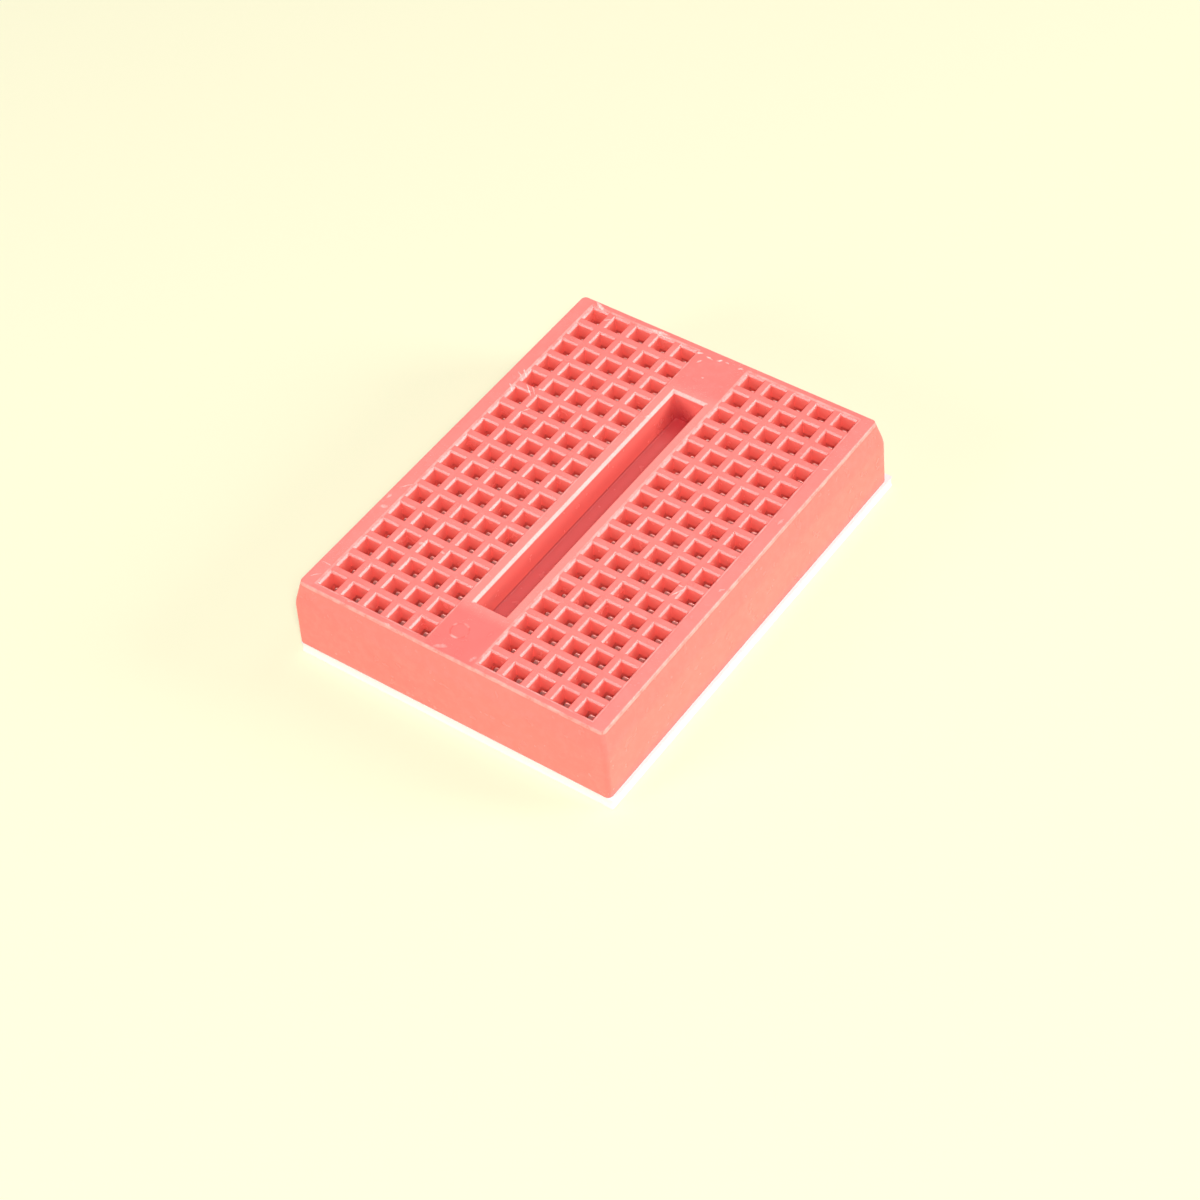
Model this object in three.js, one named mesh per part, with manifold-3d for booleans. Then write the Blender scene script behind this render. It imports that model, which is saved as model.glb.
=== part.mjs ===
// Solderless breadboard with 170 tie points: a moulded body, one sheet-metal contact clip in each
// of the 34 channels under its strips of five holes, a foam mounting tape that shuts the underside
// and holds the clips in, and the tape's peel-off liner.
// Millimetres. X runs along the strips of five holes, Y along the rows, Z up. The liner lies on
// z = 0, and the origin is under the centre of the outline.
import * as THREE from 'three';
import { mergeVertices } from 'three/addons/utils/BufferGeometryUtils.js';
import Module from 'manifold-3d';

const wasm = await Module();
wasm.setup();

// ---- Driving dimensions: tie points ----
const pitch = 2.54;              // spacing of the tie points, 0.1 inch
const rowCount = 17;             // strips in each bank
const holesPerStrip = 5;         // tie points that share one clip
const bankGapPitches = 3;        // spacing of the two inner columns, in pitches
const holeSize = 1.61;           // square hole below its mouth
const mouthChamfer = 0.17;       // 45 degree lead-in round each hole

// ---- Driving dimensions: body ----
const bodyHeight = 7.8;
const sideLand = 1.555;          // top face outside the outer columns' mouths
const endLand = 0.725;           // top face outside the first and last rows' mouths
const troughLand = 0.95;         // web between the inner columns' mouths and the trough's rim
const shoulderHeight = 2.6;      // upper part of the side walls, which leans in
const shoulderLean = 0.6;
const wallDraft = 0.1;           // lean of the wall below the shoulder
const cornerRadius = 0.5;
const cornerSegments = 4;
const bankRecess = 0.08;         // banks of holes lie this far below the rest of the top face
const recessBorder = 0.03;       // recessed land outside each bank's outermost mouths
const topPlate = 1.3;            // roof of the clip channels, below the recessed banks
const troughDepth = 3.4;
const troughChamfer = 0.24;      // 45 degree lead-in round the trough
const endPanel = 6.22;           // blank top face from each end of the trough's rim
const channelWall = 0.5;         // between neighbouring clip channels
const channelEndRoom = 1.1;      // channel beyond the last hole's centre
const coreFloor = 1;             // skin under the trough, and the walls round the coring pockets
const corePlate = 1.6;           // roof of the pockets under the blank panels
const pocketWidth = 3.4;

// ---- Driving dimensions: contact clips ----
const sheet = 0.2;               // spring strip thickness
const clipSideClearance = 0.25;  // clip to channel wall
const clipEndClearance = 0.3;    // clip to channel end
const clipHeadroom = 0.3;        // finger tips to channel roof
const clipTrayHeight = 1.4;      // unslotted lower part of the clip
const fingerSlot = 0.5;          // between neighbouring fingers
const pinchGap = 0.24;           // fingers at rest, where they grip the lead
const pinchDrop = 0.9;           // grip point below the finger tips
const tipGap = 0.9;              // flared lead-in at the finger tips

// ---- Driving dimensions: tape and liner ----
const tapeThickness = 1.05;
const linerThickness = 0.15;
const tapeOverhang = { left: -0.2, right: 0.3, front: 0.05, back: 0.55 }; // beyond the body's base

// ---- Derived places ----
const mouthSize = holeSize + 2 * mouthChamfer;
const innerColumn = bankGapPitches * pitch / 2;
const outerColumn = innerColumn + (holesPerStrip - 1) * pitch;
const lastRow = (rowCount - 1) * pitch / 2;
const bankCentre = (innerColumn + outerColumn) / 2;
const topWidth = 2 * (outerColumn + mouthSize / 2 + sideLand);
const topLength = 2 * (lastRow + mouthSize / 2 + endLand);
const baseWidth = topWidth + 2 * (shoulderLean + wallDraft);
const baseLength = topLength + 2 * (shoulderLean + wallDraft);
const bodyBottom = linerThickness + tapeThickness;
const bodyTop = bodyBottom + bodyHeight;
const shoulderZ = bodyTop - shoulderHeight;
const bankTop = bodyTop - bankRecess;
const channelTop = bankTop - topPlate;
const troughFloor = bodyTop - troughDepth;
const troughRimLength = topLength - 2 * endPanel;
const troughWidth = 2 * (innerColumn - mouthSize / 2 - troughLand - troughChamfer);
const troughLength = troughRimLength - 2 * troughChamfer;
const channelWidth = pitch - channelWall;
const channelLength = (holesPerStrip - 1) * pitch + 2 * channelEndRoom;
const cutMargin = 0.4;           // how far a cutting solid runs past the face that it opens

// ---- Shared shapes ----
function rectangle(width, length) {
  const shape = new THREE.Shape();
  shape.moveTo(-width / 2, -length / 2);
  shape.lineTo(width / 2, -length / 2);
  shape.lineTo(width / 2, length / 2);
  shape.lineTo(-width / 2, length / 2);
  shape.closePath();
  return shape;
}

function roundedRectangle(width, length, radius) {
  const x = width / 2 - radius;
  const y = length / 2 - radius;
  const shape = new THREE.Shape();
  shape.moveTo(-x, -y - radius);
  shape.absarc(x, -y, radius, -Math.PI / 2, 0);
  shape.absarc(x, y, radius, 0, Math.PI / 2);
  shape.absarc(-x, y, radius, Math.PI / 2, Math.PI);
  shape.absarc(-x, -y, radius, Math.PI, 1.5 * Math.PI);
  return shape;
}

// A closed solid with the outline at each ring's height, drawn in on every side by the ring's inset.
function loft(outline, rings) {
  const steps = rings.length - 1;
  const geometry = new THREE.ExtrudeGeometry(outline, {
    depth: steps, steps, curveSegments: cornerSegments, bevelEnabled: false,
  });
  const points = geometry.attributes.position;
  for (let i = 0; i < points.count; i += 1) {
    const { z, inset } = rings[Math.round(points.getZ(i))];
    const x = points.getX(i);
    const y = points.getY(i);
    points.setXYZ(i, x - Math.sign(x) * inset, y - Math.sign(y) * inset, z);
  }
  return geometry;
}

function block(width, length, bottom, top) {
  return loft(rectangle(width, length), [{ z: bottom, inset: 0 }, { z: top, inset: 0 }]);
}

function solid(geometry) {
  geometry.deleteAttribute('normal');
  geometry.deleteAttribute('uv');
  const merged = mergeVertices(geometry);
  return new wasm.Manifold(new wasm.Mesh({
    numProp: 3,
    vertProperties: new Float32Array(merged.attributes.position.array),
    triVerts: new Uint32Array(merged.index.array),
  }));
}

function toGeometry(manifold) {
  const mesh = manifold.getMesh();
  const geometry = new THREE.BufferGeometry();
  geometry.setAttribute('position', new THREE.BufferAttribute(mesh.vertProperties, 3));
  geometry.setIndex(new THREE.BufferAttribute(mesh.triVerts, 1));
  geometry.computeVertexNormals();
  return geometry;
}

function eachStrip(visit) {
  for (const side of [-1, 1]) {
    for (let row = 0; row < rowCount; row += 1) {
      visit(side, row, side * bankCentre, row * pitch - lastRow);
    }
  }
}

// ---- Body: one moulding, open below ----
function bodyShell() {
  return solid(loft(roundedRectangle(baseWidth, baseLength, cornerRadius), [
    { z: bodyBottom, inset: 0 },
    { z: shoulderZ, inset: wallDraft },
    { z: bodyTop, inset: wallDraft + shoulderLean },
  ]));
}

function bankRecessCut() {
  const width = 2 * (outerColumn - bankCentre) + mouthSize + 2 * recessBorder;
  const length = 2 * lastRow + mouthSize + 2 * recessBorder;
  return solid(block(width, length, bankTop, bodyTop + cutMargin));
}

function tiePointCut() {
  return solid(loft(rectangle(holeSize, holeSize), [
    { z: channelTop - cutMargin, inset: 0 },
    { z: bankTop - mouthChamfer, inset: 0 },
    { z: bankTop, inset: -mouthChamfer },
    { z: bankTop + cutMargin, inset: -mouthChamfer },
  ]));
}

function troughCut() {
  return solid(loft(rectangle(troughWidth, troughLength), [
    { z: troughFloor, inset: 0 },
    { z: bodyTop - troughChamfer, inset: 0 },
    { z: bodyTop + cutMargin, inset: -troughChamfer - cutMargin },
  ]));
}

function channelCut() {
  return solid(block(channelLength, channelWidth, bodyBottom - cutMargin, channelTop));
}

function coringCuts() {
  const bottom = bodyBottom - cutMargin;
  const underTrough = solid(block(troughWidth, troughLength - 2 * coreFloor, bottom, troughFloor - coreFloor));
  const panelPocket = solid(block(pocketWidth, endPanel - 2 * coreFloor, bottom, bodyTop - corePlate));
  const panelCentre = (troughRimLength + endPanel) / 2;
  return [
    underTrough,
    panelPocket.translate(0, -panelCentre, 0),
    panelPocket.translate(0, panelCentre, 0),
  ];
}

function bodyGeometry() {
  let body = bodyShell();
  const recess = bankRecessCut();
  for (const side of [-1, 1]) {
    body = body.subtract(recess.translate(side * bankCentre, 0, 0));
  }
  const tiePoint = tiePointCut();
  const channel = channelCut();
  const firstHole = -(holesPerStrip - 1) * pitch / 2;
  eachStrip((side, row, x, y) => {
    body = body.subtract(channel.translate(x, y, 0));
    for (let hole = 0; hole < holesPerStrip; hole += 1) {
      body = body.subtract(tiePoint.translate(x + firstHole + hole * pitch, y, 0));
    }
  });
  for (const cut of [troughCut(), ...coringCuts()]) {
    body = body.subtract(cut);
  }
  return toGeometry(body);
}

// ---- Contact clip: a folded strip with a pair of sprung fingers under each tie point ----
function clipSection() {
  const half = channelWidth / 2 - clipSideClearance;
  const tip = channelTop - clipHeadroom;
  const pinch = tip - pinchDrop;
  const tray = bodyBottom + clipTrayHeight;
  const outside = [[half, bodyBottom], [half, tray], [pinchGap / 2 + sheet, pinch], [tipGap / 2 + sheet, tip]];
  const inside = [[tipGap / 2, tip], [pinchGap / 2, pinch], [half - sheet, tray], [half - sheet, bodyBottom + sheet]];
  const rightSide = [...outside, ...inside];
  const leftSide = rightSide.map(([y, z]) => [-y, z]).reverse();
  return new THREE.Shape([...rightSide, ...leftSide].map(([y, z]) => new THREE.Vector2(y, z)));
}

function clipGeometry() {
  const length = channelLength - 2 * clipEndClearance;
  const strip = new THREE.ExtrudeGeometry(clipSection(), { depth: length, steps: 1, bevelEnabled: false });
  strip.translate(0, 0, -length / 2);
  strip.rotateX(Math.PI / 2);
  strip.rotateZ(Math.PI / 2);
  let clip = solid(strip);
  const slot = solid(block(fingerSlot, channelWidth, bodyBottom + clipTrayHeight, channelTop));
  for (let gap = 1; gap < holesPerStrip; gap += 1) {
    clip = clip.subtract(slot.translate((gap - holesPerStrip / 2) * pitch, 0, 0));
  }
  return toGeometry(clip);
}

// ---- Tape and liner: the same rectangle, set a little off the body ----
const tapeLeft = -baseWidth / 2 - tapeOverhang.left;
const tapeRight = baseWidth / 2 + tapeOverhang.right;
const tapeFront = -baseLength / 2 - tapeOverhang.front;
const tapeBack = baseLength / 2 + tapeOverhang.back;

function tapeLayer(bottom, top) {
  const geometry = block(tapeRight - tapeLeft, tapeBack - tapeFront, bottom, top);
  geometry.translate((tapeLeft + tapeRight) / 2, (tapeFront + tapeBack) / 2, 0);
  return geometry;
}

// ---- Materials ----
const coralPlastic = { color: 0xf0564b, roughness: 0.42, metalness: 0 };
const springMetal = { color: 0xcfc8b8, roughness: 0.3, metalness: 1 };
const whiteFoam = { color: 0xf5f4f0, roughness: 0.95, metalness: 0 };
const waxedPaper = { color: 0xfbfaf4, roughness: 0.6, metalness: 0 };

function piece(name, geometry, finish) {
  const mesh = new THREE.Mesh(geometry, new THREE.MeshStandardMaterial(finish));
  mesh.name = name;
  return mesh;
}

// ---- Assembly ----
const breadboard = new THREE.Group();
breadboard.add(piece('body', bodyGeometry(), coralPlastic));
breadboard.add(piece('foam_tape', tapeLayer(linerThickness, bodyBottom), whiteFoam));
breadboard.add(piece('release_liner', tapeLayer(0, linerThickness), waxedPaper));

const clip = clipGeometry();
eachStrip((side, row, x, y) => {
  const bank = side < 0 ? 'left' : 'right';
  const number = String(row + 1).padStart(2, '0');
  const contact = piece(`contact_clip_${bank}_${number}`, clip, springMetal);
  contact.position.set(x, y, 0);
  breadboard.add(contact);
});

// The outline's centre goes over the origin, whichever of the body and the tape reaches further.
const outlineLeft = Math.min(-baseWidth / 2, tapeLeft);
const outlineRight = Math.max(baseWidth / 2, tapeRight);
const outlineFront = Math.min(-baseLength / 2, tapeFront);
const outlineBack = Math.max(baseLength / 2, tapeBack);
breadboard.position.set(-(outlineLeft + outlineRight) / 2, -(outlineFront + outlineBack) / 2, 0);

export default breadboard;
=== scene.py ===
"""Solderless breadboard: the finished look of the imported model.

New pieces are modelled in millimetres in the part's frame and brought to metres when they are done.
"""
import math

import bmesh
import bpy
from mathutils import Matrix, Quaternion, Vector


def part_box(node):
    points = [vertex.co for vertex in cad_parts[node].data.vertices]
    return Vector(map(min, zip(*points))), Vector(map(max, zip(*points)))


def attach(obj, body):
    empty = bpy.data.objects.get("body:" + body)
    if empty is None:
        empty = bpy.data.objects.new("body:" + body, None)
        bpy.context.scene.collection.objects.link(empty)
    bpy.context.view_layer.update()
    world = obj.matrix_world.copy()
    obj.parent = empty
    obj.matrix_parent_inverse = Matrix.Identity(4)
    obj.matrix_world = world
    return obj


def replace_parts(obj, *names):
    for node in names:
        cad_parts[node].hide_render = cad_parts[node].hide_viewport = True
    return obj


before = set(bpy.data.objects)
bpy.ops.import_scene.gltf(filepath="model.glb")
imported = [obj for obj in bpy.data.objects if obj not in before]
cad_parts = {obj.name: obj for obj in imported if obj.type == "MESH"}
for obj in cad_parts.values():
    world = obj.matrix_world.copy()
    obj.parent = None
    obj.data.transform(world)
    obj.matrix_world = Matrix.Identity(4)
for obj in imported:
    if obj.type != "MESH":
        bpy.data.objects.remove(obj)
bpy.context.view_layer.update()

MM = 0.001
NEAR = 0.002            # two heights or places this close are the same one

# ---- Sizes that the frame gives, in millimetres ----
body_low, body_high = (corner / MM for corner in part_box("body"))
tape_low, tape_high = (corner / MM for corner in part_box("foam_tape"))
liner_low, liner_high = (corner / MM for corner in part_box("release_liner"))
clip_low, clip_high = (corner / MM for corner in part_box("contact_clip_left_01"))


def clip_centre(bank, row):
    low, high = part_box(f"contact_clip_{bank}_{row:02d}")
    return (low + high) / 2 / MM


ROWS = sum(name.startswith("contact_clip_left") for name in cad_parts)
BANKS = ("left", "right")
first_left = clip_centre("left", 1)
PITCH = clip_centre("left", 2).y - first_left.y
BANK_SPACING = clip_centre("right", 1).x - first_left.x
CENTRE = (body_low + body_high) / 2
BASE_WIDTH, BASE_LENGTH, BODY_HEIGHT = body_high - body_low
TOP = body_high.z

# ---- Sizes of the moulding ----
HOLES = 5               # tie points in a strip
HOLE = 1.6
MOUTH_CHAMFER = 0.18
MOUTH_CHAMFER_DEPTH = 0.24
MOUTH = HOLE + 2 * MOUTH_CHAMFER
BANK_RECESS = 0.08
STEP_RUN = 0.2          # the step down to a bank slopes over this distance
WALL_DRAFT = 0.1
SHOULDER_HEIGHT = 2.6
SHOULDER_LEAN = 0.6
CORNER_RADIUS = 0.5
PLATE = 1.6             # from a bank's face down to the channels
RIB = 0.25              # between two holes the plate is thicker by this much
TROUGH_WIDTH = 3.3
TROUGH_LENGTH = 31.1
TROUGH_DEPTH = 3.4
TROUGH_CHAMFER = 0.23
TROUGH_CHAMFER_DEPTH = 0.29
CHANNEL_WALL = 0.5
CHANNEL_LENGTH = 12.36
CORE_FLOOR = 1.0
PANEL_CORE_ROOF = 1.6
PANEL_CORE = (3.4, 4.17)
TROUGH_DRAFT = 0.12
HOLE_OVERSHOOT = 0.15   # the holes run this far past the plate, into the channels
FINGER_RELIEF = 0.04    # at each side of a hole the rib is cut back by this much
GATE_PLACE = (-0.75, -19.15)     # from the body's centre
GATE_RADIUS = 0.85
GATE_GROOVE = 0.14      # radius of the groove's section
GATE_LIFT = 0.1         # the groove's section is centred this far above the top

# ---- Rounds of the moulding ----
SHOULDER_ROUND = 0.45
TOP_EDGE_ROUND = 0.11
TROUGH_FLOOR_ROUND = 0.09
TROUGH_RIM_ROUND = 0.05
MOUTH_ROUND = 0.035
STEP_ROUND = 0.03

# ---- Sizes of a clip ----
SHEET = 0.2
TRAY_HEIGHT = 1.4
FINGER_SLOT = 0.5
PINCH_GAP = 0.24
PINCH_DROP = 0.9
TIP_GAP = 0.98
PINCH_SHARE = 0.75      # a finger narrows to these shares of its root's width
TIP_SHARE = 0.52
TRAY_BEND = 0.25
ROOT_BEND = 0.5
PINCH_BEND = 0.3
TIP_ROUND = 0.15
SHEET_EDGE_ROUND = 0.085

# ---- Sizes of the foam and the liner ----
SHEET_CORNER = 0.15
FOAM_CELL = 0.7         # the cut edge is uneven from one of these to the next
FOAM_DRAWN_IN = 0.1     # width that the foam loses at mid height
FOAM_UNEVEN = 0.03
LINER_EDGE_ROUND = 0.03

# ---- Tones of the plastic; in the holes they are painted light, standing in for light soaking in through the plastic, and on the trough's floor and at its back end painted shade ----
CORAL = (0.98, 0.212, 0.176)
CLOUD_TONES = (0.98, 0.186, 0.158), (0.98, 0.198, 0.168)
MOTTLE_TONE = (1.0, 0.25, 0.225)
PAINTED_HOLE_LIGHT_TONES = (1.0, 0.13, 0.10), (1.0, 0.22, 0.175)      # deep down, and near the mouth
PAINTED_HOLE_LIGHT_DEPTHS = (2.2, 0.5)                           # below the top, where each is full
PAINTED_HOLE_LIGHT_START = 0.35                                  # nothing higher up has these tones
TROUGH_TONE = (0.98, 0.205, 0.170)
# painted shade on the trough's floor, and darker still at the foot of its back end
TROUGH_FLOOR_SHADE_TONE = (0.62, 0.116, 0.112)
TROUGH_END_SHADE_TONE = (0.52, 0.046, 0.052)
# painted highlight on the plain strips beside the trough and along the sides
MARGIN_HIGHLIGHT_TONE = (1.0, 0.29, 0.25)
GATE_PANEL_TONE = (0.97, 0.155, 0.135)
# pale wear marks, and painted highlight on the edges and the gate ring
WORN_AND_HIGHLIGHT_TONE = (1.0, 0.74, 0.68)

# ---- Reaches of the tones, sideways and lengthways from the body's centre ----
HOLE_FIELD = (15.2, 21.6)
INNER_MARGIN = (2.75, 16.2)
OUTER_MARGIN = (14.9, 15.4)      # sideways only: where it starts and where it is full
GATE_PANEL = (2.6, 16.8)         # half its width, and how far forward it starts
TROUGH_END_SHADE_PLACE = (-0.9, -0.3, 0.2)     # from the foot of the trough's back wall
TROUGH_END_SHADE_REACH = (2.6, 3.4, 2.6)
TOP_EDGE = (BASE_WIDTH / 2 - WALL_DRAFT - SHOULDER_LEAN,
            BASE_LENGTH / 2 - WALL_DRAFT - SHOULDER_LEAN)

# ---- Surroundings, in metres ----
FLOOR_SIZE = 4
FLOOR_DROP = 0.00002    # the floor is this far below the liner, so that their faces don't meet
FADE_START = 0.12
FADE_END = 0.5
EVEN_LIGHT = 0.08

# ---- Wear on the top: x and y from the body's centre, direction, length, width, strength ----
SCUFFS = (
    (2.4, -22.1, 10, 0.7, 0.22, 1.0), (-1.1, -21.5, 30, 1.3, 0.5, 0.35), (2.2, -21.2, 70, 0.8, 0.4, 0.35),
    (-6.6, -22.0, 0, 0.9, 0.3, 0.6), (-11.0, -21.5, 20, 0.8, 0.25, 0.5),
    (-14.3, 21.6, -30, 1.6, 0.4, 1.0), (-12.7, 20.4, 40, 0.7, 0.2, 0.7), (-7.4, 21.5, 5, 2.4, 0.35, 0.9),
    (-6.9, 21.3, 2, 3.8, 0.1, 1.0), (-2.6, 21.1, 20, 0.9, 0.3, 1.0), (-1.3, 21.0, -10, 0.8, 0.22, 0.9),
    (-0.3, 21.2, 40, 0.6, 0.25, 1.0), (0.5, 21.3, 0, 0.5, 0.2, 0.8), (2.0, 21.3, 15, 0.6, 0.22, 0.9),
    (-1.9, 20.1, 60, 0.6, 0.2, 0.8), (-0.4, 18.4, 0, 0.25, 0.2, 0.8),
    (-14.9, 10.2, -35, 1.5, 0.16, 1.0), (-15.2, 9.8, -30, 1.1, 0.14, 0.9), (-13.5, 8.7, -42, 2.2, 0.12, 1.0),
    (-13.1, 8.9, -42, 1.6, 0.1, 0.8), (-15.0, 8.0, -40, 1.3, 0.14, 0.9), (-12.5, 9.3, 20, 0.6, 0.18, 0.8),
    (-12.0, 6.4, 60, 0.8, 0.14, 1.0), (-2.9, 12.0, 80, 0.7, 0.16, 0.9), (-1.9, 11.5, 70, 0.6, 0.14, 0.8),
    (-15.5, -7.5, 50, 1.2, 0.12, 0.8), (-16.1, -9.4, 80, 0.7, 0.3, 0.6), (-15.7, -10.7, 30, 0.8, 0.4, 0.5),
    (-9.9, -12.5, 10, 0.9, 0.35, 0.5), (-7.8, -12.4, -15, 0.8, 0.3, 0.5), (-15.7, -19.0, 0, 1.3, 0.1, 0.6),
    (-15.7, -20.6, 45, 1.0, 0.12, 0.7), (12.6, -4.5, 5, 0.8, 0.16, 1.0), (12.8, -5.3, 65, 1.4, 0.16, 1.0),
    (15.9, 6.6, 80, 0.9, 0.25, 0.5), (16.0, -3.1, 60, 0.7, 0.2, 0.5), (15.8, 14.2, 30, 0.6, 0.25, 0.5),
)


# ---- Hand tools ----
def only(piece):
    bpy.ops.object.select_all(action="DESELECT")
    piece.select_set(True)
    bpy.context.view_layer.objects.active = piece


def edit(piece):
    only(piece)
    bpy.ops.object.mode_set(mode="EDIT")


def leave():
    bpy.ops.object.mode_set(mode="OBJECT")


def pick(kind, wanted):
    """Selects the faces, edges or vertices of the edited mesh that pass a test, and nothing else."""
    mesh = bpy.context.edit_object.data
    bpy.ops.mesh.select_mode(type=kind)
    bpy.ops.mesh.select_all(action="DESELECT")
    shape = bmesh.from_edit_mesh(mesh)
    items = {"FACE": shape.faces, "EDGE": shape.edges, "VERT": shape.verts}[kind]
    for item in items:
        if wanted(item):
            item.select_set(True)
    shape.select_flush_mode()
    bmesh.update_edit_mesh(mesh)


def middle(edge):
    return (edge.verts[0].co + edge.verts[1].co) / 2


def turn(edge):
    """How sharply the surface turns at an edge, in degrees."""
    return math.degrees(edge.calc_face_angle(0))


def along(axis, at):
    point, normal = [0, 0, 0], [0, 0, 0]
    point[axis], normal[axis] = at, 1
    return point, normal


def cut(axis, at, wanted=None):
    """Cuts the faces that pass the test along a plane."""
    pick("FACE", wanted or (lambda face: True))
    point, normal = along(axis, at)
    bpy.ops.mesh.bisect(plane_co=point, plane_no=normal, threshold=1e-5)


def pull(x=0, y=0, z=0):
    bpy.ops.mesh.extrude_region_move(TRANSFORM_OT_translate={"value": (x, y, z)})


def bevel(offset, segments=2, affect="EDGES"):
    bpy.ops.mesh.bevel(offset=offset, segments=segments, affect=affect, clamp_overlap=True)


def merge(distance=0.002):
    """Joins the vertices that bevels and cuts leave on top of each other."""
    bpy.ops.mesh.select_mode(type="VERT")
    bpy.ops.mesh.select_all(action="SELECT")
    bpy.ops.mesh.remove_doubles(threshold=distance)
    bpy.ops.mesh.dissolve_degenerate(threshold=distance / 2)


def modifier(piece, kind, **settings):
    only(piece)
    made = piece.modifiers.new(kind.lower(), kind)
    for name, value in settings.items():
        setattr(made, name, value)
    bpy.ops.object.modifier_apply(modifier=made.name)


def block(name, low, high):
    bpy.ops.object.select_all(action="DESELECT")
    low, high = Vector(low), Vector(high)
    bpy.ops.mesh.primitive_cube_add(size=1, location=(low + high) / 2)
    piece = bpy.context.object
    piece.name = piece.data.name = name
    piece.scale = high - low
    bpy.ops.object.transform_apply(location=True, rotation=True, scale=True)
    return piece


def cut_away(piece, cutter):
    modifier(piece, "BOOLEAN", operation="DIFFERENCE", solver="EXACT", object=cutter)
    bpy.data.objects.remove(cutter, do_unlink=True)


def finished(piece, material, body="board", smooth=35):
    """Shades a piece, brings it from millimetres to metres and puts it on its body."""
    only(piece)
    bpy.ops.object.shade_smooth_by_angle(angle=math.radians(smooth))
    modifier(piece, "WEIGHTED_NORMAL", keep_sharp=True)
    piece.scale = (MM, MM, MM)
    bpy.ops.object.transform_apply(location=True, rotation=True, scale=True)
    piece.data.materials.clear()
    piece.data.materials.append(material)
    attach(piece, body)
    return piece


# ---- Body ----
def is_top(face):
    return face.normal.z > 0.9 and face.calc_center_median().z > TOP - NEAR


def blank():
    """The plain block: rounded corners, drafted walls and the shoulder that leans in to the top."""
    body = block("breadboard_body", body_low, body_high)
    edit(body)
    pick("EDGE", lambda e: abs(e.verts[0].co.z - e.verts[1].co.z) > BODY_HEIGHT / 2)
    bevel(CORNER_RADIUS, 5)
    cut(2, TOP - SHOULDER_HEIGHT)
    draft, lean = 2 * WALL_DRAFT, 2 * SHOULDER_LEAN
    for height, inset in ((TOP - SHOULDER_HEIGHT, draft), (TOP, draft + lean)):
        pick("VERT", lambda v: abs(v.co.z - height) < NEAR)
        factors = ((BASE_WIDTH - inset) / BASE_WIDTH, (BASE_LENGTH - inset) / BASE_LENGTH, 1)
        bpy.ops.transform.resize(value=factors, center_override=CENTRE)
    pick("EDGE", lambda e: abs(middle(e).z - TOP + SHOULDER_HEIGHT) < NEAR and turn(e) > 5)
    bevel(SHOULDER_ROUND, 3)
    pick("EDGE", lambda e: abs(middle(e).z - TOP) < NEAR and turn(e) > 30)
    bevel(TOP_EDGE_ROUND, 3)
    leave()
    return body


def bank_span():
    """The bank's half width and half length, out to its outermost mouths."""
    return (HOLES - 1) * PITCH / 2 + MOUTH / 2, (ROWS - 1) * PITCH / 2 + MOUTH / 2


def in_bank(place, side, slack=0.0):
    half_width, half_length = bank_span()
    across = abs(place.x - CENTRE.x - side * BANK_SPACING / 2)
    return across < half_width + slack and abs(place.y - CENTRE.y) < half_length + slack


def sink_banks():
    """Both banks lie a little below the rest of the top, behind a short sloping step."""
    half_width, half_length = bank_span()
    half_width, half_length = half_width + STEP_RUN, half_length + STEP_RUN
    for side in (-1, 1):
        bank_x = CENTRE.x + side * BANK_SPACING / 2
        for edge_x in (bank_x - half_width, bank_x + half_width):
            cut(0, edge_x, is_top)
        for edge_y in (CENTRE.y - half_length, CENTRE.y + half_length):
            cut(1, edge_y, lambda f: is_top(f) and abs(f.calc_center_median().x - bank_x) < half_width)
        pick("FACE", lambda f: is_top(f) and in_bank(f.calc_center_median(), side, STEP_RUN))
        bpy.ops.mesh.inset(thickness=STEP_RUN, depth=-BANK_RECESS)


def sink_holes():
    """The mouths are marked out on both banks, chamfered and pushed through the plate."""
    bank_top = TOP - BANK_RECESS

    def on_bank(face):
        return face.normal.z > 0.99 and abs(face.calc_center_median().z - bank_top) < NEAR

    for side in (-1, 1):
        bank_x = CENTRE.x + side * BANK_SPACING / 2
        first_x = bank_x - (HOLES - 1) * PITCH / 2
        first_y = CENTRE.y - (ROWS - 1) * PITCH / 2
        halves = (-MOUTH / 2, MOUTH / 2)
        marks = [(0, first_x + i * PITCH + half) for i in range(HOLES) for half in halves]
        marks += [(1, first_y + i * PITCH + half) for i in range(ROWS) for half in halves]
        for axis, at in marks:
            cut(axis, at, lambda f: on_bank(f) and in_bank(f.calc_center_median(), side))

    def is_mouth(face):
        if not on_bank(face):
            return False
        place = face.calc_center_median()
        across = abs(place.x - CENTRE.x) - BANK_SPACING / 2 + (HOLES - 1) * PITCH / 2
        down = place.y - CENTRE.y + (ROWS - 1) * PITCH / 2
        return all(abs(steps - round(steps)) < 0.05 for steps in (across / PITCH, down / PITCH))

    pick("FACE", is_mouth)
    bpy.ops.mesh.inset(thickness=MOUTH_CHAMFER, depth=-MOUTH_CHAMFER_DEPTH, use_individual=True)
    pull(z=MOUTH_CHAMFER_DEPTH - PLATE - HOLE_OVERSHOOT)


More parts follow.
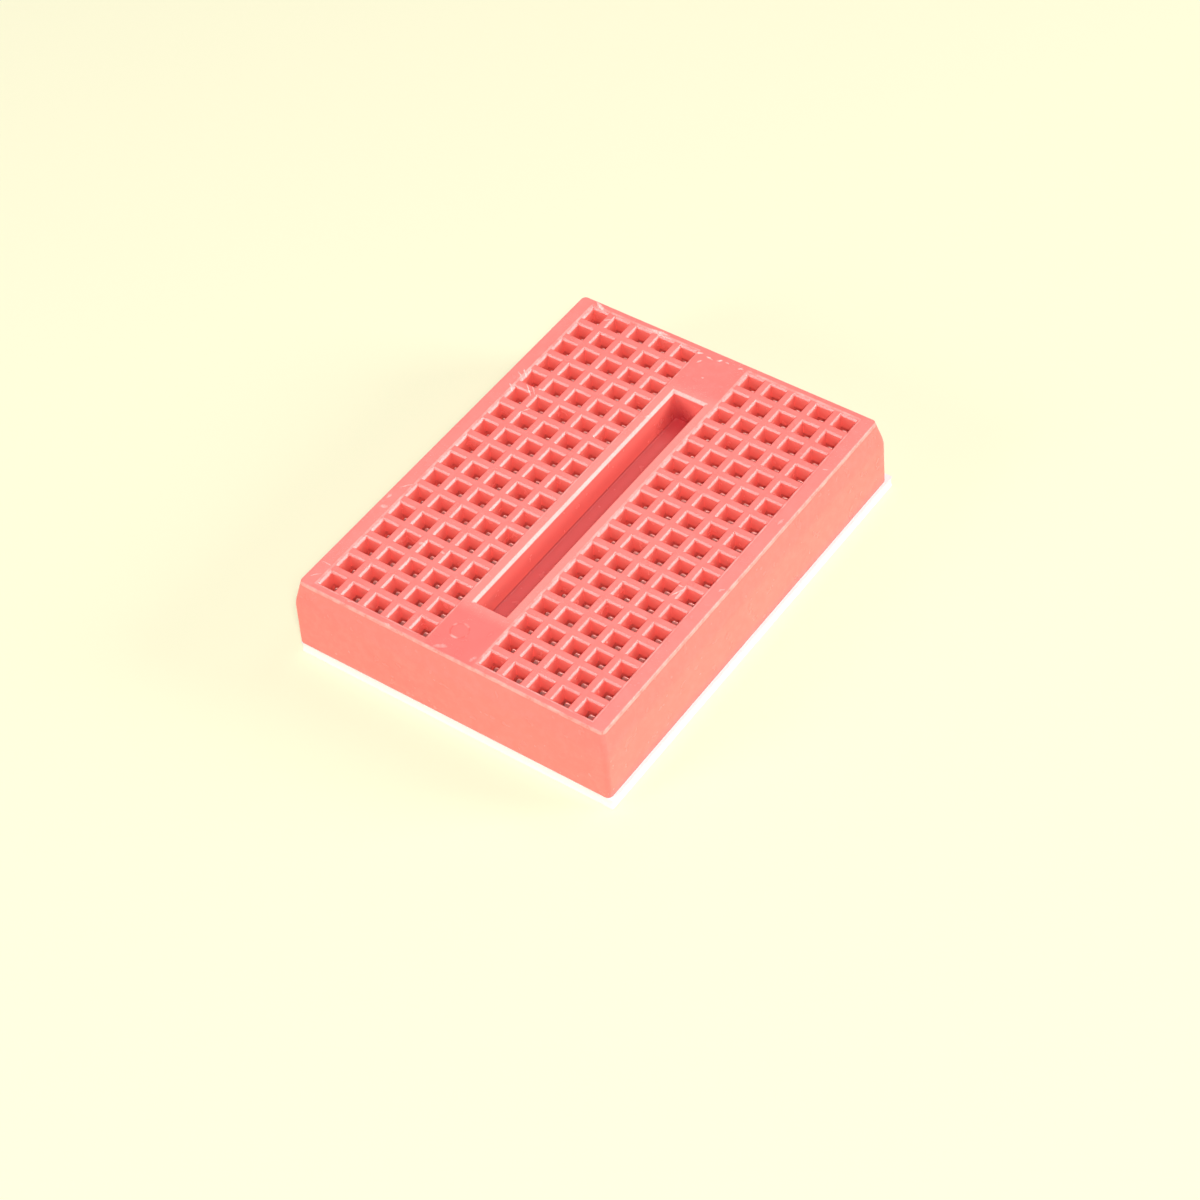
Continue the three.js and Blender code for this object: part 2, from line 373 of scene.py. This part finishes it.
def sink_trough():
    half_x, half_y = TROUGH_WIDTH / 2 + TROUGH_CHAMFER, TROUGH_LENGTH / 2 + TROUGH_CHAMFER
    for edge_x in (CENTRE.x - half_x, CENTRE.x + half_x):
        cut(0, edge_x, lambda f: is_top(f) and abs(f.calc_center_median().x - CENTRE.x) < half_x + 1)
    for edge_y in (CENTRE.y - half_y, CENTRE.y + half_y):
        cut(1, edge_y, lambda f: is_top(f) and abs(f.calc_center_median().x - CENTRE.x) < half_x)
    pick("FACE", lambda f: is_top(f) and abs(f.calc_center_median().x - CENTRE.x) < half_x
         and abs(f.calc_center_median().y - CENTRE.y) < half_y)
    pull(z=-TROUGH_CHAMFER_DEPTH)
    shrink = (TROUGH_WIDTH / 2 / half_x, TROUGH_LENGTH / 2 / half_y, 1)
    bpy.ops.transform.resize(value=shrink, center_override=CENTRE)
    pull(z=TROUGH_CHAMFER_DEPTH - TROUGH_DEPTH)
    taper = (1 - TROUGH_DRAFT / TROUGH_WIDTH, 1 - TROUGH_DRAFT / TROUGH_LENGTH, 1)
    bpy.ops.transform.resize(value=taper, center_override=CENTRE)


def in_trough(place, slack=0.3):
    return (abs(place.x - CENTRE.x) < TROUGH_WIDTH / 2 + slack
            and abs(place.y - CENTRE.y) < TROUGH_LENGTH / 2 + slack
            and TOP - TROUGH_DEPTH - NEAR < place.z)


def soften_edges():
    """Moulded edges are never sharp: each kind gets its own small round."""
    plate_bottom = TOP - BANK_RECESS - PLATE
    trough_floor = TOP - TROUGH_DEPTH

    def hole_edge(edge):
        place = middle(edge)
        return (turn(edge) > 20 and plate_bottom < place.z < TOP - BANK_RECESS + NEAR
                and any(in_bank(place, side, 0.01) for side in (-1, 1)))

    def step_edge(edge):
        place = middle(edge)
        return (turn(edge) > 20 and TOP - BANK_RECESS + NEAR < place.z
                and any(in_bank(place, side, STEP_RUN + 0.02) for side in (-1, 1)))

    def trough_edge(edge):
        return turn(edge) > 20 and in_trough(middle(edge))

    pick("EDGE", lambda e: trough_edge(e) and middle(e).z < trough_floor + NEAR)
    bevel(TROUGH_FLOOR_ROUND, 2)
    pick("EDGE", lambda e: trough_edge(e) and middle(e).z > trough_floor + 0.5)
    bevel(TROUGH_RIM_ROUND, 2)
    pick("EDGE", hole_edge)
    bevel(MOUTH_ROUND, 2)
    pick("EDGE", step_edge)
    bevel(STEP_ROUND, 2)
    merge()


def core_out(body):
    """The underside: a channel for each clip, and pockets that keep the walls even."""
    under = body_low.z - 1
    rib_bottom = TOP - BANK_RECESS - PLATE - RIB
    half = Vector((CHANNEL_LENGTH / 2, (PITCH - CHANNEL_WALL) / 2, 0))
    first = Vector((first_left.x, first_left.y, 0))
    channels = block("channels", first - half + Vector((0, 0, under)),
                     first + half + Vector((0, 0, rib_bottom)))
    edit(channels)
    relief = HOLE / 2 + FINGER_RELIEF
    hole_places = [first.x + (i - (HOLES - 1) / 2) * PITCH for i in range(HOLES)]
    for place in hole_places:
        for edge in (place - relief, place + relief):
            cut(0, edge, lambda f: f.normal.z > 0.9)
    pick("FACE", lambda f: f.normal.z > 0.9
         and any(abs(f.calc_center_median().x - place) < relief for place in hole_places))
    pull(z=RIB)
    leave()
    for count, offset in ((ROWS, (0, PITCH, 0)), (2, (BANK_SPACING, 0, 0))):
        modifier(channels, "ARRAY", count=count, use_relative_offset=False,
                 use_constant_offset=True, constant_offset_displace=offset)
    cut_away(body, channels)
    half_x, half_y = TROUGH_WIDTH / 2, TROUGH_LENGTH / 2 - CORE_FLOOR
    pocket_top = TOP - TROUGH_DEPTH - CORE_FLOOR
    cut_away(body, block("pocket", (CENTRE.x - half_x, CENTRE.y - half_y, under),
                         (CENTRE.x + half_x, CENTRE.y + half_y, pocket_top)))
    top_length = BASE_LENGTH - 2 * (WALL_DRAFT + SHOULDER_LEAN)
    panel_y = (top_length + TROUGH_LENGTH) / 4
    for end in (-1, 1):
        at = Vector((CENTRE.x, CENTRE.y + end * panel_y, 0))
        reach = Vector((PANEL_CORE[0] / 2, PANEL_CORE[1] / 2, 0))
        cut_away(body, block("pocket", at - reach + Vector((0, 0, under)),
                             at + reach + Vector((0, 0, TOP - PANEL_CORE_ROOF))))


def press_gate_mark(body):
    """The ring that the mould's gate leaves on the front panel: a shallow round groove."""
    bpy.ops.object.select_all(action="DESELECT")
    place = CENTRE + Vector((*GATE_PLACE, 0))
    bpy.ops.mesh.primitive_torus_add(location=(place.x, place.y, TOP + GATE_LIFT),
                                     major_radius=GATE_RADIUS, minor_radius=GATE_GROOVE,
                                     major_segments=48, minor_segments=16)
    ring = bpy.context.object
    bpy.ops.object.transform_apply(location=True, rotation=True, scale=True)
    cut_away(body, ring)


def model_body(material):
    body = blank()
    edit(body)
    sink_banks()
    sink_holes()
    sink_trough()
    soften_edges()
    leave()
    core_out(body)
    press_gate_mark(body)
    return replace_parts(finished(body, material), "body")


# ---- Contact clips ----
def bend_up(heights):
    """Pulls the picked edges up through a list of (distance out from the middle, height)."""
    for gap, height in heights:
        shape = bmesh.from_edit_mesh(bpy.context.edit_object.data)
        now = next(v.co.copy() for v in shape.verts if v.select)
        pull(y=gap - now.y, z=height - now.z)


def model_clip():
    """One clip at the origin: a tray with five pairs of sprung fingers, one half mirrored."""
    half = (clip_high.y - clip_low.y) / 2 - SHEET / 2
    length = clip_high.x - clip_low.x
    bottom, tip = clip_low.z + SHEET / 2, clip_high.z
    tray = clip_low.z + TRAY_HEIGHT
    bpy.ops.object.select_all(action="DESELECT")
    bpy.ops.mesh.primitive_plane_add(size=1, location=(0, half / 2, bottom))
    clip = bpy.context.object
    clip.name = "contact_clip"
    clip.scale = (length, half, 1)
    bpy.ops.object.transform_apply(location=True, rotation=True, scale=True)
    edit(clip)
    slots = [(gap - HOLES / 2) * PITCH for gap in range(1, HOLES)]
    for slot in slots:
        for edge in (-FINGER_SLOT / 2, FINGER_SLOT / 2):
            cut(0, slot + edge)

    def rim(edge, sides):
        return abs(middle(edge).y - half) < NEAR and len(edge.link_faces) == sides

    pick("EDGE", lambda e: rim(e, 1))
    bend_up([(half, tray)])
    pick("EDGE", lambda e: rim(e, 1) and middle(e).z > tray - NEAR
         and all(abs(middle(e).x - slot) > FINGER_SLOT / 2 - NEAR for slot in slots))
    pinch = tip - PINCH_DROP
    bend_up([((PINCH_GAP + SHEET) / 2, pinch), ((TIP_GAP + SHEET) / 2, tip - SHEET / 4)])
    for finger in range(HOLES):
        middle_x = (finger - (HOLES - 1) / 2) * PITCH
        for height, share in ((pinch, PINCH_SHARE), (tip, TIP_SHARE)):
            pick("VERT", lambda v: abs(v.co.z - height) < SHEET and abs(v.co.x - middle_x) < PITCH / 2)
            bpy.ops.transform.resize(value=(share, 1, 1), center_override=(middle_x, 0, 0))
    for height, radius in ((bottom, TRAY_BEND), (tray, ROOT_BEND), (pinch, PINCH_BEND)):
        pick("EDGE", lambda e: abs(middle(e).z - height) < NEAR
             and abs(e.verts[0].co.y - e.verts[1].co.y) < NEAR
             and len(e.link_faces) == 2 and turn(e) > 5)
        bevel(radius, 3)
    pick("VERT", lambda v: v.co.z > tip - SHEET / 2)
    bevel(TIP_ROUND, 2, "VERTICES")
    leave()
    modifier(clip, "MIRROR", use_axis=(False, True, False), use_clip=True, merge_threshold=0.001)
    modifier(clip, "SOLIDIFY", thickness=SHEET, offset=0, use_even_offset=True)
    modifier(clip, "BEVEL", width=SHEET_EDGE_ROUND, segments=3, limit_method="ANGLE",
             angle_limit=math.radians(50))
    return clip


def model_clips(material):
    pattern = model_clip()
    for bank in BANKS:
        for row in range(1, ROWS + 1):
            clip = pattern.copy()
            clip.data = pattern.data.copy()
            clip.name = clip.data.name = f"clip_{bank}_{row:02d}"
            bpy.context.collection.objects.link(clip)
            centre = clip_centre(bank, row)
            clip.location = (centre.x, centre.y, 0)
            only(clip)
            bpy.ops.object.transform_apply(location=True, rotation=True, scale=True)
            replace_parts(finished(clip, material), f"contact_clip_{bank}_{row:02d}")
    bpy.data.objects.remove(pattern, do_unlink=True)


# ---- Foam tape and liner ----
def model_tape(material):
    """Closed-cell foam, cut by a die: its cut edge is a little uneven and drawn in at mid height."""
    tape = block("foam_pad", tape_low, tape_high)
    edit(tape)
    pick("EDGE", lambda e: abs(e.verts[0].co.z - e.verts[1].co.z) > 0.5)
    bevel(SHEET_CORNER, 3)
    for share in (0.25, 0.5, 0.75):
        cut(2, tape_low.z + share * (tape_high.z - tape_low.z))
    for axis in (0, 1):
        span = tape_high[axis] - tape_low[axis]
        count = int(span / FOAM_CELL)
        for i in range(1, count):
            cut(axis, tape_low[axis] + i * span / count)
    centre = (tape_low + tape_high) / 2
    pick("VERT", lambda v: abs(v.co.z - centre.z) < 0.4)
    size = tape_high - tape_low
    drawn_in = (1 - FOAM_DRAWN_IN / size.x, 1 - FOAM_DRAWN_IN / size.y, 1)
    bpy.ops.transform.resize(value=drawn_in, center_override=centre)
    bpy.ops.transform.vertex_random(offset=FOAM_UNEVEN, seed=4)
    leave()
    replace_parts(finished(tape, material, smooth=60), "foam_tape")
    return tape


def model_liner(material):
    """Waxed release paper, one flat sheet under the whole of the foam."""
    liner = block("liner_sheet", liner_low, liner_high)
    edit(liner)
    pick("EDGE", lambda e: abs(e.verts[0].co.z - e.verts[1].co.z) > 0.1)
    bevel(SHEET_CORNER, 3)
    pick("EDGE", lambda e: turn(e) > 60)
    bevel(LINER_EDGE_ROUND, 2)
    leave()
    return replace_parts(finished(liner, material, body="liner"), "release_liner")


# ---- Materials ----
class Finish:
    """A material's node tree, built up a node at a time."""

    def __init__(self, name, colour, roughness, constants=None):
        self.material = bpy.data.materials.new(name)
        self.material.use_nodes = True
        self.nodes = self.material.node_tree.nodes
        self.links = self.material.node_tree.links
        self.shader = self.nodes["Principled BSDF"]
        self.shader.inputs["Base Color"].default_value = (*colour, 1)
        self.shader.inputs["Roughness"].default_value = roughness
        for socket, value in (constants or {}).items():
            self.shader.inputs[socket].default_value = value
        self.place = self.nodes.new("ShaderNodeTexCoord").outputs["Object"]

    def node(self, kind, inputs=None, **settings):
        made = self.nodes.new("ShaderNode" + kind)
        for name, value in settings.items():
            setattr(made, name, value)
        for socket, value in (inputs or {}).items():
            if isinstance(value, bpy.types.NodeSocket):
                self.links.new(value, made.inputs[socket])
            else:
                made.inputs[socket].default_value = value
        return made

    def noise(self, size_mm, detail=3, roughness=0.5, distortion=0.0, place=None):
        scale = 1 / (size_mm * MM)
        made = self.node("TexNoise", {"Vector": place or self.place, "Scale": scale, "Detail": detail,
                                      "Roughness": roughness, "Distortion": distortion})
        return made.outputs["Fac"]

    def stretched(self, factors, turn_degrees=0):
        made = self.node("Mapping", {"Vector": self.place, "Scale": factors,
                                     "Rotation": (0, 0, math.radians(turn_degrees))})
        return made.outputs["Vector"]

    def span(self, value, low, high, to_low=0.0, to_high=1.0):
        made = self.node("MapRange", {"Value": value, "From Min": low, "From Max": high,
                                      "To Min": to_low, "To Max": to_high}, clamp=True)
        return made.outputs["Result"]

    def maths(self, operation, first, second):
        return self.node("Math", {0: first, 1: second}, operation=operation).outputs[0]

    def both(self, first, second):
        return self.maths("MULTIPLY", first, second)

    def either(self, first, second):
        return self.maths("MAXIMUM", first, second)

    def mixed(self, factor, first, second):
        made = self.node("Mix", data_type="RGBA")
        for socket, value in (("Factor_Float", factor), ("A_Color", first), ("B_Color", second)):
            target = next(i for i in made.inputs if i.identifier == socket)
            if isinstance(value, bpy.types.NodeSocket):
                self.links.new(value, target)
            else:
                target.default_value = value if isinstance(value, (int, float)) else (*value, 1)
        return next(o for o in made.outputs if o.identifier == "Result_Color")

    def bump(self, height, strength, depth_mm, normal=None):
        inputs = {"Height": height, "Strength": strength, "Distance": depth_mm * MM}
        if normal:
            inputs["Normal"] = normal
        return self.node("Bump", inputs).outputs["Normal"]

    def far(self, place, centre, sizes=(1 / MM, 1 / MM, 1 / MM), direction=0):
        """A place's distance from a spot, as a share of the spot's sizes. With no sizes, in metres."""
        spot = self.node("Mapping", {"Vector": place, "Location": tuple(part * MM for part in centre),
                                     "Scale": tuple(size * MM for size in sizes),
                                     "Rotation": (0, 0, math.radians(direction))}, vector_type="TEXTURE")
        return self.node("VectorMath", {0: spot.outputs["Vector"]}, operation="LENGTH").outputs["Value"]

    def wire(self, socket, value):
        self.links.new(value, self.shader.inputs[socket])


def measure(finish):
    """Gives a finish each place's distances from the body's centre, and its height, in metres."""
    parts = finish.node("SeparateXYZ", {0: finish.place}).outputs
    finish.left = finish.maths("SUBTRACT", CENTRE.x * MM, parts["X"])
    finish.back = finish.maths("SUBTRACT", parts["Y"], CENTRE.y * MM)
    finish.across = finish.maths("ABSOLUTE", finish.left, 0.0)
    finish.down = finish.maths("ABSOLUTE", finish.back, 0.0)
    finish.height = parts["Z"]


def below(finish, value, limit, blur=0.05):
    """1 where the value is less than a limit in millimetres, and 0 past it."""
    return finish.span(value, (limit - blur) * MM, (limit + blur) * MM, 1.0, 0.0)


def within(finish, half_width, half_length, blur=0.05):
    """1 inside an oblong about the body's centre."""
    return finish.both(below(finish, finish.across, half_width, blur),
                       below(finish, finish.down, half_length, blur))


def near_line(finish, distance, reach):
    return below(finish, finish.maths("ABSOLUTE", distance, 0.0), reach)


def past(finish, sideways, lengthways, half_width, half_length):
    """How far a place is past the outline of an oblong, less than 0 inside it."""
    return finish.either(finish.maths("SUBTRACT", sideways, half_width * MM),
                         finish.maths("SUBTRACT", lengthways, half_length * MM))


def broken(finish, size, low, high, least, most):
    """A share that changes along an edge, so that its wear, and the painted highlight on edges, come and go.
    """
    return finish.span(finish.noise(size, 4, 0.7), low, high, least, most)


def at_top(finish, depth=0.4, blur=0.1, share=1.0):
    """The share at the top of the body, and 0 lower down."""
    return finish.span(finish.height, (TOP - depth) * MM, (TOP - depth + blur) * MM, 0.0, share)


def scuffed(finish):
    """Where the top has been rubbed pale, in spots with wavering outlines."""
    wobble = finish.node("TexNoise", {"Vector": finish.place, "Scale": 1 / (0.35 * MM), "Detail": 4.0,
                                      "Roughness": 0.65}).outputs["Color"]
    wobble = finish.node("VectorMath", {0: wobble, 1: (0.5, 0.5, 0.5)}, operation="SUBTRACT")
    reach = (0.4 * MM, 0.4 * MM, 0)
    place = finish.node("VectorMath", {0: wobble.outputs["Vector"], 1: reach, 2: finish.place},
                        operation="MULTIPLY_ADD").outputs["Vector"]
    found = 0.0
    for x, y, direction, length, width, strength in SCUFFS:
        at = (CENTRE.x + x, CENTRE.y + y, TOP)
        away = finish.far(place, at, (length / 2, width / 2, 0.4), direction)
        found = finish.either(found, finish.span(away, 0.5, 1.1, strength, 0.0))
    return finish.both(found, broken(finish, 0.3, 0.38, 0.58, 0.3, 1.0))


def worn_and_highlit_edges(finish):
    """Pale lines on the outer edge of the top, the steps round the banks and the trough's rim: partly wear,
    partly painted highlight.
    """
    outline = past(finish, finish.across, finish.down, *TOP_EDGE)
    outline = finish.maths("SUBTRACT", outline, 0.04 * MM)
    edge = finish.both(near_line(finish, outline, 0.11), broken(finish, 0.9, 0.36, 0.66, 0.06, 0.38))

    half_width, half_length = bank_span()
    bank = finish.maths("ABSOLUTE", finish.maths("SUBTRACT", finish.across, BANK_SPACING / 2 * MM), 0.0)
    bank = past(finish, bank, finish.down, half_width + STEP_RUN / 2, half_length + STEP_RUN / 2)
    bank = finish.both(near_line(finish, bank, 0.09), broken(finish, 1.3, 0.4, 0.66, 0.1, 0.5))

    rim = past(finish, finish.left, finish.back, (TROUGH_WIDTH + TROUGH_CHAMFER) / 2,
               (TROUGH_LENGTH + TROUGH_CHAMFER) / 2)
    rim = finish.both(near_line(finish, rim, 0.11), broken(finish, 0.6, 0.36, 0.6, 0.25, 0.6))
    rim = finish.both(rim, within(finish, TROUGH_WIDTH / 2 + 0.35, TROUGH_LENGTH / 2 + 0.35))
    return finish.both(finish.either(edge, finish.either(bank, rim)), at_top(finish))


def gate_ring_highlight(finish):
    # Painted highlight: pale arcs on the ring round the gate mark, where its groove catches the light.
    away = finish.far(finish.place, (CENTRE.x + GATE_PLACE[0], CENTRE.y + GATE_PLACE[1], TOP))
    away = finish.maths("ABSOLUTE", finish.maths("SUBTRACT", away, GATE_RADIUS * MM), 0.0)
    arcs = finish.span(finish.noise(1.1, 1), 0.46, 0.62, 0.0, 0.55)
    return finish.both(below(finish, away, 0.08, 0.08), arcs)


def hair_scratches(finish):
    hairs = finish.span(finish.noise(0.35, 2, place=finish.stretched((1, 16, 1), 38)), 0.66, 0.74)
    hairs = finish.both(hairs, finish.span(finish.noise(5, 2), 0.5, 0.62))
    return finish.both(hairs, at_top(finish, share=0.6))


def paint_hole_light_and_trough_shade(finish, colour):
    """The tones down in the holes and in the trough: painted light in the holes, standing in for light
    soaking in through the plastic, and painted shade on the trough's floor, darkest at the foot of its back
    end.
    """
    lower = below(finish, finish.height, TOP - PAINTED_HOLE_LIGHT_START)
    # painted light in the holes, standing in for light soaking in through the plastic
    hole_light_share = finish.both(lower, within(finish, *HOLE_FIELD))
    deep, near_mouth = ((TOP - depth) * MM for depth in PAINTED_HOLE_LIGHT_DEPTHS)
    shallow = finish.span(finish.height, deep, near_mouth)
    colour = finish.mixed(hole_light_share, colour, finish.mixed(shallow, *PAINTED_HOLE_LIGHT_TONES))

    inside = within(finish, TROUGH_WIDTH / 2 + 0.1, TROUGH_LENGTH / 2 + 0.1)
    colour = finish.mixed(inside, colour, TROUGH_TONE)
    bottom = TOP - TROUGH_DEPTH
    # painted shade on the trough's floor
    floor_shade = finish.both(inside, below(finish, finish.height, bottom + 0.25, 0.08))
    colour = finish.mixed(floor_shade, colour, TROUGH_FLOOR_SHADE_TONE)
    # painted shade, darkest at the foot of the trough's back end
    foot = Vector((CENTRE.x, CENTRE.y + TROUGH_LENGTH / 2, bottom)) + Vector(TROUGH_END_SHADE_PLACE)
    away = finish.far(finish.place, foot, TROUGH_END_SHADE_REACH)
    end_shade = finish.both(inside, finish.span(away, 0.15, 1.05, 1.0, 0.0))
    return finish.mixed(end_shade, colour, TROUGH_END_SHADE_TONE)


def paint_margin_highlight(finish, colour):
    """Painted highlight: the plain strips beside the trough and along the sides are made a little paler,
    standing in for the shine of the bright edges beside them.
    """
    inner = finish.both(below(finish, finish.across, INNER_MARGIN[0], 0.2),
                        below(finish, finish.down, INNER_MARGIN[1], 0.6))
    outer = finish.span(finish.across, OUTER_MARGIN[0] * MM, OUTER_MARGIN[1] * MM, 0.0, 0.6)
    margin_highlight = finish.both(finish.either(inner, outer), at_top(finish))
    return finish.mixed(finish.both(margin_highlight, 0.5), colour, MARGIN_HIGHLIGHT_TONE)


def redder_gate_panel(finish, colour):
    panel = finish.both(below(finish, finish.back, -GATE_PANEL[1], 0.4),
                        below(finish, finish.across, GATE_PANEL[0], 0.15))
    panel = finish.both(panel, at_top(finish, depth=0.3, blur=0.2))
    return finish.mixed(finish.both(panel, 0.8), colour, GATE_PANEL_TONE)


def coral_plastic():
    """Wear and the painted highlights go into the colour and the roughness only: with a bump from them the
    shader is too long.
    """
    finish = Finish("coral_plastic", CORAL, 0.3, {"IOR": 1.5})
    measure(finish)
    colour = finish.mixed(finish.span(finish.noise(9, 2), 0.35, 0.65), *CLOUD_TONES)
    mottled = finish.span(finish.noise(0.8, 4, 0.7), 0.45, 0.65, 0.0, 0.35)
    colour = finish.mixed(mottled, colour, MOTTLE_TONE)
    colour = paint_hole_light_and_trough_shade(finish, colour)
    colour = paint_margin_highlight(finish, colour)
    colour = redder_gate_panel(finish, colour)

    worn_and_highlit = finish.either(scuffed(finish), worn_and_highlit_edges(finish))
    worn_and_highlit = finish.either(worn_and_highlit, gate_ring_highlight(finish))
    worn_and_highlit = finish.either(worn_and_highlit, hair_scratches(finish))
    finish.wire("Base Color", finish.mixed(worn_and_highlit, colour, WORN_AND_HIGHLIGHT_TONE))

    shine = finish.span(finish.noise(1.2, 2), 0.3, 0.7, 0.21, 0.28)
    finish.wire("Roughness", finish.maths("ADD", shine, finish.both(worn_and_highlit, 0.3)))
    swell = finish.bump(finish.noise(3.5, 1), 0.4, 0.02)
    finish.wire("Normal", finish.bump(finish.noise(0.5, 1), 0.3, 0.004, swell))
    return finish.material


def spring_metal_with_painted_reflection():
    # The pink tint is partly the bronze under the thin plating and partly painted reflection of the red
    # plastic round the clips.
    finish = Finish("plated_spring_metal_painted_reflection", (0.95, 0.66, 0.60), 0.45, {"Metallic": 0.8})
    streaks = finish.noise(0.4, 3, place=finish.stretched((1, 12, 1)))
    shade = finish.span(streaks, 0.3, 0.7)
    finish.wire("Base Color", finish.mixed(shade, (0.93, 0.60, 0.53), (0.98, 0.72, 0.66)))
    finish.wire("Roughness", finish.span(streaks, 0.3, 0.7, 0.38, 0.5))
    return finish.material


def white_foam():
    finish = Finish("white_foam", (0.86, 0.86, 0.85), 0.9)
    voronoi = finish.node("TexVoronoi", {"Vector": finish.place, "Scale": 1 / (0.16 * MM)})
    cells = voronoi.outputs["Distance"]
    shade = finish.span(cells, 0.0, 0.6)
    finish.wire("Base Color", finish.mixed(shade, (0.82, 0.82, 0.81), (0.88, 0.88, 0.87)))
    finish.wire("Normal", finish.bump(cells, 0.6, 0.03))
    return finish.material


def liner_paper():
    finish = Finish("waxed_paper", (0.82, 0.815, 0.79), 0.5)
    fibres = finish.noise(0.5, 5, 0.7, 1.5)
    shade = finish.span(fibres, 0.3, 0.7)
    finish.wire("Base Color", finish.mixed(shade, (0.78, 0.77, 0.74), (0.84, 0.835, 0.815)))
    finish.wire("Roughness", finish.span(finish.noise(2, 3), 0.3, 0.7, 0.42, 0.58))
    finish.wire("Normal", finish.bump(fibres, 0.3, 0.01))
    return finish.material


# ---- Floor, lights and camera ----
def floor():
    """A pale floor that is lit like the rest, keeps its shadow and fades to white far off."""
    bpy.ops.object.select_all(action="DESELECT")
    bpy.ops.mesh.primitive_plane_add(size=FLOOR_SIZE)
    ground = bpy.context.object
    ground.name = "floor"
    ground.location = (0, 0, -FLOOR_DROP)
    finish = Finish("pale_floor", (0.93, 0.90, 0.64), 0.9)
    away = finish.node("VectorMath", {0: finish.place}, operation="LENGTH").outputs["Value"]
    away = finish.span(away, FADE_START, FADE_END)
    tint = finish.mixed(away, (1.0, 0.97, 0.69), (1, 1, 1))
    glow = finish.node("Emission", {"Color": tint, "Strength": 1.0})
    path = finish.node("LightPath")
    share = finish.both(path.outputs["Is Camera Ray"], finish.span(away, 0.0, 1.0, 0.45, 1.0))
    seen = finish.node("MixShader", {0: share, 1: finish.shader.outputs[0], 2: glow.outputs[0]})
    finish.links.new(seen.outputs[0], finish.nodes["Material Output"].inputs["Surface"])
    ground.data.materials.append(finish.material)


def direction_to(azimuth, elevation):
    """A unit vector; azimuth 0 is the front and 90 the right, in degrees."""
    a, e = math.radians(azimuth), math.radians(elevation)
    return Vector((math.sin(a) * math.cos(e), -math.cos(a) * math.cos(e), math.sin(e)))


def lamp(name, azimuth, elevation, distance, size, power, colour=(1, 1, 1)):
    """A square soft lamp, placed by the direction that its light comes from."""
    back = direction_to(azimuth, elevation)
    light = bpy.data.lights.new(name, "AREA")
    light.shape, light.size, light.energy, light.color = "SQUARE", size, power, colour
    holder = bpy.data.objects.new(name, light)
    bpy.context.collection.objects.link(holder)
    holder.location = back * distance
    holder.rotation_mode = "QUATERNION"
    holder.rotation_quaternion = (-back).to_track_quat("-Z", "Y")


def lighting():
    lamp("main_lamp", 44, 49, 0.8, 0.14, 4.9)
    lamp("side_lamp", 122, 21, 0.6, 0.22, 1.95)
    lamp("front_lamp", -28, 24, 0.6, 0.2, 1.05)
    lamp("top_lamp", -60, 73, 0.6, 0.2, 0.6)
    lamp("rear_lamp", 155, 54, 0.7, 0.22, 0.45)
    lamp("back_lamp", 219, 48, 0.7, 0.22, 0.22, (0.95, 0.97, 1.0))


def surroundings():
    """A faint even light all round, seen by the camera as plain white."""
    world = bpy.data.worlds.new("studio")
    bpy.context.scene.world = world
    world.use_nodes = True
    nodes, links = world.node_tree.nodes, world.node_tree.links
    shade = nodes["Background"]
    seen = nodes.new("ShaderNodeBackground")
    for background, strength in ((shade, EVEN_LIGHT), (seen, 1.0)):
        background.inputs["Strength"].default_value = strength
        background.inputs["Color"].default_value = (1, 1, 1, 1)
    path = nodes.new("ShaderNodeLightPath")
    choose = nodes.new("ShaderNodeMixShader")
    links.new(path.outputs["Is Camera Ray"], choose.inputs[0])
    links.new(shade.outputs[0], choose.inputs[1])
    links.new(seen.outputs[0], choose.inputs[2])
    links.new(choose.outputs[0], nodes["World Output"].inputs["Surface"])


def camera():
    """The view from above the right-hand front corner, held a little askew."""
    azimuth, elevation, roll = 38.76, 47.51, 5.04
    distance, lens = 267.9, 91.72
    target = CENTRE + Vector((7.61, -9.71, 0))
    target.z = TOP
    back = direction_to(azimuth, elevation)
    data = bpy.data.cameras.new("camera")
    data.lens, data.sensor_width = lens, 36
    data.clip_start, data.clip_end = 0.01, 10
    holder = bpy.data.objects.new("camera", data)
    bpy.context.collection.objects.link(holder)
    holder.rotation_mode = "QUATERNION"
    holder.location = (target + back * distance) * MM
    upright = (-back).to_track_quat("-Z", "Y")
    holder.rotation_quaternion = upright @ Quaternion((0, 0, 1), math.radians(-roll))
    bpy.context.scene.camera = holder


camera()
model_body(coral_plastic())
model_clips(spring_metal_with_painted_reflection())
model_tape(white_foam())
model_liner(liner_paper())
floor()
lighting()
surroundings()
bpy.context.scene.view_settings.view_transform = "Standard"
